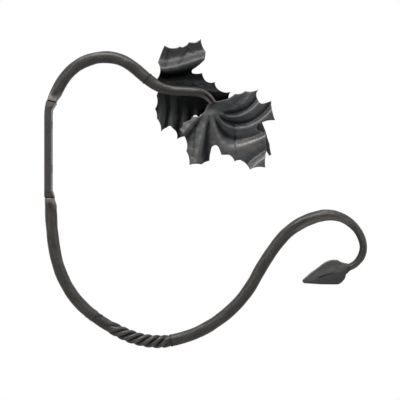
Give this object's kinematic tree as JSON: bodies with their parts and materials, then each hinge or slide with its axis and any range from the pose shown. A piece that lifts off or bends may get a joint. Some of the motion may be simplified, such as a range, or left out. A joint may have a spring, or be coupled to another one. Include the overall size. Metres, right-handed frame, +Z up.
{
  "type": "hanging basket bracket",
  "caption": "Wrought iron bracket for a hanging basket: an S-shaped bar with a screw-on wall plate, a twisted length, vine leaves and a leaf-ended hook.",
  "frame": {"origin": "centre of the wall plate's back face", "axes": "+X from the wall into the room along the bracket, +Z up, +Y away from a viewer who sees the hook on the right"},
  "size_m": [0.3222, 0.0558, 0.3111],
  "materials": {
    "plate_iron": "hammered iron with a dark wax finish",
    "bar_iron": "forged round bar with a dark wax finish",
    "twist_iron": "twisted bar with a dark wax finish",
    "leaf_iron": "sheet iron leaves with a dark wax finish",
    "weld": "dressed weld metal under the same finish"
  },
  "bodies": {
    "root": {"wall_plate": "plate_iron", "plate_weld_upper": "weld", "plate_weld_lower": "weld", "upper_stem": "bar_iron", "stalk_weld": "weld", "leaf_stalk": "bar_iron", "rear_leaf": "leaf_iron", "front_leaf": "leaf_iron", "lower_bar": "bar_iron", "scarf_weld": "weld", "twisted_bar": "twist_iron", "twist_weld": "weld", "hook_bar": "bar_iron", "neck_weld": "weld", "hook_leaf": "leaf_iron", "rear_leaf_weld": "weld", "front_leaf_weld": "weld"}
  },
  "joints": []
}
